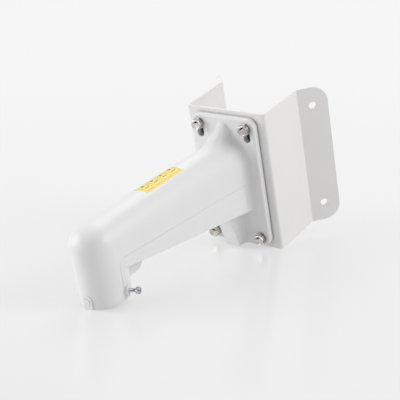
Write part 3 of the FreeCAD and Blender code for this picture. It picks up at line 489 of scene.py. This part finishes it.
def makeThread(rod, low, high):
    # a three-sided ridge wound round a core
    pitch = rod["pitch"]
    depth = rod["depth"]
    turns = int((high - low) / pitch) - 1
    deselectAll()
    bpy.ops.mesh.primitive_circle_add(
        vertices=3, radius=depth, fill_type="NOTHING", rotation=(math.pi / 2, 0, 0))
    ridge = bpy.context.object
    bpy.ops.object.transform_apply(location=True, rotation=True, scale=True)
    editMesh(ridge, "VERT")
    bpy.ops.mesh.select_all(action="SELECT")
    # the circle's point is turned outwards, then drawn out to the pitch
    bpy.ops.transform.rotate(value=math.pi / 2, orient_axis="Y", center_override=(0, 0, 0))
    bpy.ops.object.mode_set(mode="OBJECT")
    spots = [vertex.co for vertex in ridge.data.vertices]
    middleX = sum(co.x for co in spots) / 3
    if max(co.x for co in spots) - middleX < middleX - min(co.x for co in spots):
        ridge.data.transform(Matrix.Scale(-1, 4, (1, 0, 0)))
        spots = [vertex.co for vertex in ridge.data.vertices]
    wide = max(co.z for co in spots) - min(co.z for co in spots)
    tall = max(co.x for co in spots) - min(co.x for co in spots)
    ridge.data.transform(Matrix.Diagonal((depth / tall, 1, pitch * 0.98 / wide, 1)))
    tip = max(vertex.co.x for vertex in ridge.data.vertices)
    ridge.data.transform(Matrix.Translation((rod["radius"] - tip, 0, low + pitch)))
    applyModifier(ridge, "SCREW", axis="Z", angle=math.tau, screw_offset=pitch, iterations=turns, steps=24,
                  render_steps=24, use_merge_vertices=False)
    fillOpenEnds(ridge)
    core = addCylinder(rod["radius"] - depth * 0.93, low, high, 32)
    bevelEdges(core, depth * 0.9, 1)
    piece = joinPieces([core, ridge])
    outwards(piece)
    return piece


flangeBolt = {
    "across": 13 * mm, "headThick": 5.3 * mm, "radius": 4 * mm, "pitch": 1.25 * mm, "depth": 0.72 * mm,
    "faceRadius": 6.15 * mm, "collar": 5.9 * mm, "collarThick": 0.35 * mm, "threadFrom": 12 * mm}


def makeHexBlank(across, low, high):
    return addCylinder(across / math.sqrt(3), low, high, 6)


def makeFlangeBolt(bolt, length):
    head = makeHexBlank(bolt["across"], 0, bolt["headThick"] - bolt["collarThick"])
    slope = 12 * mm
    turned = addCone(bolt["faceRadius"], bolt["faceRadius"] + slope * 1.73, 0, slope)
    carve(head, turned, "INTERSECT")
    editMesh(head)
    pickFaces(head, lambda centre, normal: normal.z < -0.99)
    bpy.ops.mesh.inset(thickness=0.55 * mm, depth=0)
    bpy.ops.mesh.inset(thickness=0.25 * mm, depth=-0.18 * mm)
    bpy.ops.object.mode_set(mode="OBJECT")
    bevelEdges(head, 0.13 * mm)
    headEnd = bolt["headThick"]
    collar = addCylinder(bolt["collar"], headEnd - bolt["collarThick"] - 0.05 * mm, headEnd, 48)
    neck = addCylinder(bolt["radius"] - 0.02 * mm, headEnd - 0.1 * mm, bolt["threadFrom"] + 0.4 * mm, 40)
    thread = makeThread(bolt, bolt["threadFrom"], length)
    piece = joinPieces([head, collar, neck, thread])
    smoothByAngle(piece, 28)
    return piece


boltLow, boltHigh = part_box("flange_bolt_top_left")
boltModel = makeFlangeBolt(flangeBolt, boltHigh.y - boltLow.y)
boltTurns = {"top_left": 24, "top_right": 9, "bottom_left": 38, "bottom_right": 17}
intoWall = Matrix.Rotation(-math.pi / 2, 4, "X")  # +Z of a modelled fastener goes to +Y
for corner in corners:
    node = "flange_bolt_" + corner
    low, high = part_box(node)
    bolt = copyPiece(boltModel)
    turn = intoWall @ Matrix.Rotation(math.radians(boltTurns[corner]), 4, "Z")
    settle(bolt, "hexBolt_" + corner, turn, frontMiddle(low, high))
    paint(bolt, boltSteel)
    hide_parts(node)
    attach(bolt, "bracket")
bpy.data.objects.remove(boltModel)
print("flange bolts made")


rearNut = {"across": 13 * mm, "bore": 4.02 * mm, "faceRadius": 6.2 * mm}


def makeRearNut(nut, thick):
    piece = makeHexBlank(nut["across"], 0, thick)
    reach = thick * 1.73
    near = addCone(nut["faceRadius"], nut["faceRadius"] + reach, 0, thick)
    far = addCone(nut["faceRadius"] + reach, nut["faceRadius"], 0, thick)
    carve(piece, near, "INTERSECT")
    carve(piece, far, "INTERSECT")
    carve(piece, addCylinder(nut["bore"], -1 * mm, thick + 1 * mm, 40), "DIFFERENCE")
    mouth = nut["bore"] + 0.7 * mm
    carve(piece, addCone(mouth - 2 * mm, mouth, thick - 2 * mm, thick + 0.001 * mm), "DIFFERENCE")
    bevelEdges(piece, 0.1 * mm)
    smoothByAngle(piece, 28)
    return piece


nutLow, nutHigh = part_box("rear_nut_top_left")
nutModel = makeRearNut(rearNut, nutHigh.y - nutLow.y)
for corner in corners:
    node = "rear_nut_" + corner
    low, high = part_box(node)
    nut = copyPiece(nutModel)
    turn = intoWall @ Matrix.Rotation(math.radians(boltTurns[corner] * 2), 4, "Z")
    settle(nut, "hexNut_" + corner, turn, frontMiddle(low, high))
    paint(nut, boltSteel)
    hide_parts(node)
    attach(nut, "bracket")
bpy.data.objects.remove(nutModel)
print("rear nuts made")


springWasher = {"inner": 4.2 * mm, "outer": 6.6 * mm, "bar": 1.6 * mm, "gapDegrees": 14, "corner": 0.18 * mm}


def makeSpringWasher(washer, thick):
    # a square bar wound just short of one turn, its ends a little apart
    wide = washer["outer"] - washer["inner"]
    middle = (washer["outer"] + washer["inner"]) / 2
    deselectAll()
    bpy.ops.mesh.primitive_plane_add(size=1, rotation=(math.pi / 2, 0, 0))
    piece = bpy.context.object
    piece.scale = (wide, washer["bar"], 1)
    piece.location = (middle, 0, washer["bar"] / 2)
    bpy.ops.object.transform_apply(location=True, rotation=True, scale=True)
    editMesh(piece)
    bpy.ops.mesh.select_all(action="SELECT")
    bpy.ops.mesh.delete(type="ONLY_FACE")
    bpy.ops.object.mode_set(mode="OBJECT")
    angle = math.radians(360 - washer["gapDegrees"])
    applyModifier(piece, "SCREW", axis="Z", angle=angle, screw_offset=thick - washer["bar"], iterations=1,
                  steps=48, render_steps=48, use_merge_vertices=False)
    fillOpenEnds(piece)
    outwards(piece)
    bevelEdges(piece, washer["corner"], 2, 40)
    smoothByAngle(piece, 30)
    return piece


springLow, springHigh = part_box("spring_washer_top_left")
springModel = makeSpringWasher(springWasher, springHigh.y - springLow.y)
for corner in corners:
    node = "spring_washer_" + corner
    low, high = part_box(node)
    spring = copyPiece(springModel)
    turn = intoWall @ Matrix.Rotation(math.radians(-90 + boltTurns[corner]), 4, "Z")
    settle(spring, "springWasher_" + corner, turn, frontMiddle(low, high))
    paint(spring, washerSteel)
    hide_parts(node)
    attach(spring, "bracket")
bpy.data.objects.remove(springModel)
print("spring washers made")


lockScrew = {
    "radius": 2.5 * mm, "pitch": 0.8 * mm, "depth": 0.46 * mm, "headRadius": 4.25 * mm, "headLength": 5 * mm,
    "socketAcross": 4 * mm, "socketDepth": 2.5 * mm, "length": 21 * mm,
    "grooveFrom": 0.6 * mm, "grooveWide": 1.2 * mm, "angle": 17.5}


def makeLockScrew(screw):
    # tip at 0, head at the far end; the ring's groove stays clear of the thread
    shankEnd = screw["length"] - screw["headLength"]
    tip = addCylinder(screw["radius"] - 0.1 * mm, 0, screw["grooveFrom"], 40)
    grooveEnd = screw["grooveFrom"] + screw["grooveWide"]
    groove = addCylinder(screw["radius"] - 0.5 * mm, 0.1 * mm, grooveEnd + 0.2 * mm, 32)
    thread = makeThread(screw, grooveEnd, shankEnd + 0.2 * mm)
    head = addCylinder(screw["headRadius"], shankEnd, screw["length"], 64)
    carve(head, addCylinder(screw["socketAcross"] / math.sqrt(3), screw["length"] - screw["socketDepth"],
                            screw["length"] + 1 * mm, 6), "DIFFERENCE")
    bevelEdges(head, 0.45 * mm, 4, 60)
    piece = joinPieces([head, tip, groove, thread])
    smoothByAngle(piece, 28)
    return piece


def lockScrewTurn(side):
    # +Z of the model goes outwards along the screw
    lean = math.radians(lockScrew["angle"])
    out = Vector((side * math.cos(lean), math.sin(lean), 0))
    return out, out.to_track_quat("Z", "Y").to_matrix().to_4x4()


lockModel = makeLockScrew(lockScrew)
for sideName, side in (("left", -1), ("right", 1)):
    node = "lock_screw_" + sideName
    out, turn = lockScrewTurn(side)
    low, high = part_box(node)
    screw = copyPiece(lockModel)
    # the model's middle differs from its box's middle, because the head is wider than the tip
    lean = math.radians(lockScrew["angle"])
    inset = lockScrew["radius"] * math.sin(lean)
    tipX = low.x + inset if side > 0 else high.x - inset
    tipY = low.y + lockScrew["radius"] * math.cos(lean)
    settle(screw, "lockScrewTurned_" + sideName, turn, Vector((tipX, tipY, (low.z + high.z) / 2)))
    paint(screw, screwChrome)
    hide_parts(node)
    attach(screw, "screw_" + sideName)
bpy.data.objects.remove(lockModel)
print("lock screws made")


# ---- floor, light and camera

floorLook = {
    "size": 14.0, "colour": (0.34, 0.34, 0.34), "cloud": (0.335, 0.335, 0.335),
    "rough": 0.14, "specular": 0.30, "glow": 0.45}


def floorPlane():
    # the object stands on the plate's lower front edge and the spout's rim
    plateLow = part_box("corner_plate")[0]
    rimZ = centreOf("locating_pin").z - 10 * mm
    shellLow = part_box("arm_shell")[0]
    foot = Vector((0, plateLow.y, plateLow.z))
    toe = Vector((0, shellLow.y + 0.5 * mm, rimZ))
    along = (toe - foot).normalized()
    up = Vector((1, 0, 0)).cross(along)
    if up.z < 0:
        up.negate()
    return foot, up


def makeFloor(look):
    foot, up = floorPlane()
    deselectAll()
    bpy.ops.mesh.primitive_grid_add(x_subdivisions=2, y_subdivisions=2, size=look["size"])
    floor = bpy.context.object
    floor.name = "paleFloor"
    turn = up.to_track_quat("Z", "Y").to_matrix().to_4x4()
    floor.data.transform(Matrix.Translation(foot - up * 0.2 * mm) @ turn)
    material, tree, shader = newMaterial("paleFloor")
    clouds = noiseNode(tree, objectPlace(tree), 3.0, 2.0)
    tree.links.new(mixColour(tree, clouds, look["colour"], look["cloud"]), shader.inputs["Base Color"])
    rough = rangeNode(tree, clouds, 0.0, 1.0, look["rough"], look["rough"] + 0.05)
    tree.links.new(rough, shader.inputs["Roughness"])
    shader.inputs["Specular IOR Level"].default_value = look["specular"]
    shader.inputs["Emission Color"].default_value = (1.0, 1.0, 1.0, 1.0)
    shader.inputs["Emission Strength"].default_value = look["glow"]
    # from underneath the floor doesn't hide the object
    clear = tree.nodes.new("ShaderNodeBsdfTransparent")
    mix = tree.nodes.new("ShaderNodeMixShader")
    geometry = tree.nodes.new("ShaderNodeNewGeometry")
    out = next(node for node in tree.nodes if node.type == "OUTPUT_MATERIAL")
    tree.links.new(geometry.outputs["Backfacing"], mix.inputs["Fac"])
    tree.links.new(shader.outputs["BSDF"], mix.inputs[1])
    tree.links.new(clear.outputs["BSDF"], mix.inputs[2])
    tree.links.new(mix.outputs["Shader"], out.inputs["Surface"])
    paint(floor, material)
    return floor


makeFloor(floorLook)


studio = {
    "sky": (0.975, 0.975, 0.975), "skyStrength": 0.70, "shown": (0.87, 0.87, 0.87),
    "darkSide": (0.60, -0.79, 0.12),
    "darkColour": (0.05, 0.05, 0.052), "darkFrom": 0.52, "darkTo": 0.93,
    "lamps": {
        "leftBox": {"at": (-2.1, -1.3, 1.1), "wide": 1.6, "watts": 32.0},
        "frontBox": {"at": (-0.9, -2.6, 0.6), "wide": 1.2, "watts": 8.0},
        "rightBox": {"at": (2.1, 0.8, 1.3), "wide": 1.6, "watts": 27.0},
        "backBox": {"at": (-0.9, 2.2, 1.8), "wide": 1.8, "watts": 18.0}}}


def makeStudio(setup):
    # a pale room with one dark side, so the metal has something to reflect
    world = bpy.data.worlds.new("paleStudio")
    world.use_nodes = True
    tree = world.node_tree
    sky = next(node for node in tree.nodes if node.type == "BACKGROUND")
    out = next(node for node in tree.nodes if node.type == "OUTPUT_WORLD")
    way = tree.nodes.new("ShaderNodeVectorMath")
    way.operation = "DOT_PRODUCT"
    way.inputs[1].default_value = Vector(setup["darkSide"]).normalized()
    tree.links.new(tree.nodes.new("ShaderNodeTexCoord").outputs["Generated"], way.inputs[0])
    dark = rangeNode(tree, way.outputs["Value"], setup["darkFrom"], setup["darkTo"], 0.0, 1.0)
    tree.links.new(mixColour(tree, dark, setup["sky"], setup["darkColour"]), sky.inputs["Color"])
    sky.inputs["Strength"].default_value = setup["skyStrength"]
    plain = tree.nodes.new("ShaderNodeBackground")
    plain.inputs["Color"].default_value = (*setup["shown"], 1.0)
    mix = tree.nodes.new("ShaderNodeMixShader")
    tree.links.new(tree.nodes.new("ShaderNodeLightPath").outputs["Is Camera Ray"], mix.inputs["Fac"])
    tree.links.new(sky.outputs["Background"], mix.inputs[1])
    tree.links.new(plain.outputs["Background"], mix.inputs[2])
    tree.links.new(mix.outputs["Shader"], out.inputs["Surface"])
    bpy.context.scene.world = world
    target = (cadBox[0] + cadBox[1]) / 2
    for name, lamp in setup["lamps"].items():
        light = bpy.data.lights.new(name, "AREA")
        light.shape = "SQUARE"
        light.size = lamp["wide"]
        light.energy = lamp["watts"]
        holder = bpy.data.objects.new(name, light)
        bpy.context.scene.collection.objects.link(holder)
        holder.location = lamp["at"]
        holder.rotation_euler = (target - holder.location).to_track_quat("-Z", "Y").to_euler()
    bpy.context.scene.view_settings.view_transform = "Standard"


makeStudio(studio)


viewpoint = {
    "at": (0.9484, -1.2703, 0.7527), "azimuth": 39.1, "elevation": 26.4, "roll": -9.625, "lens": 118.9}


def makeCamera(look):
    lens = bpy.data.cameras.new("viewpoint")
    lens.lens = look["lens"]
    lens.sensor_width = 36
    lens.clip_start = 0.05
    lens.clip_end = 60
    lens.dof.use_dof = False
    camera = bpy.data.objects.new("viewpoint", lens)
    bpy.context.scene.collection.objects.link(camera)
    aroundZ = Matrix.Rotation(math.radians(look["azimuth"]), 4, "Z")
    tip = Matrix.Rotation(math.radians(90 - look["elevation"]), 4, "X")
    lean = Matrix.Rotation(math.radians(look["roll"]), 4, "Z")
    camera.matrix_world = Matrix.Translation(look["at"]) @ aroundZ @ tip @ lean
    bpy.context.scene.camera = camera


makeCamera(viewpoint)
print("floor, light and camera placed")
